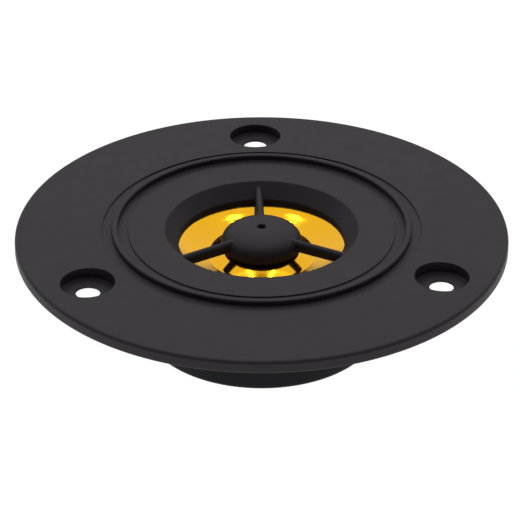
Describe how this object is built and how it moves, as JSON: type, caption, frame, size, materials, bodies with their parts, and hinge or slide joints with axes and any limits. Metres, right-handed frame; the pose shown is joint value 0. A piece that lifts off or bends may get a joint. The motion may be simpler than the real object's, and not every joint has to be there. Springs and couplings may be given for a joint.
{
  "type": "car tweeter",
  "caption": "Flush-mount dome tweeter for a car: round black faceplate with screw holes, waveguide mouth, phase plug on spokes and a gold film dome.",
  "frame": {"origin": "centre of the rear cover's flat rear face", "axes": "+Z along the driver's axis, out of the mouth; +Y through one mounting hole; the terminal blades point along -Y"},
  "size_m": [0.0926, 0.0926, 0.0226],
  "materials": {
    "moulded_black": "matte",
    "cover_black": "satin",
    "block_plastic": "matte",
    "ring_plastic": "matte",
    "gold_film": "polished",
    "former_paper": "matte",
    "copper": "gloss",
    "solder": "satin",
    "plated_steel": "satin",
    "terminal_plate": "satin",
    "zinc_steel": "satin",
    "screw_steel": "satin",
    "ferrite": "matte",
    "felt": "matte",
    "foam": "matte"
  },
  "bodies": {
    "housing": {"faceplate": "moulded_black", "throat_gasket": "foam", "surround": "gold_film", "lead_wire_positive": "copper", "lead_wire_negative": "copper", "solder_joints": "solder", "diaphragm_ring": "ring_plastic", "locating_pins": "plated_steel", "terminal_positive": "terminal_plate", "terminal_negative": "terminal_plate", "terminal_block": "block_plastic", "top_plate": "zinc_steel", "magnet": "ferrite", "yoke": "zinc_steel", "pole_damping_pad": "felt", "cover_foam_pad": "foam", "rear_cover": "cover_black", "assembly_screws": "screw_steel"},
    "diaphragm": {"dome": "gold_film", "coil_former": "former_paper", "coil_winding": "copper"}
  },
  "joints": [
    {"name": "diaphragm_travel", "type": "slide", "parent": "housing", "child": "diaphragm", "axis": [0, 0, 1], "range_m": [-0.0003, 0.0003], "stiffness_N_per_m": 10000, "deforming": ["surround", "lead_wire_positive", "lead_wire_negative"]}
  ]
}
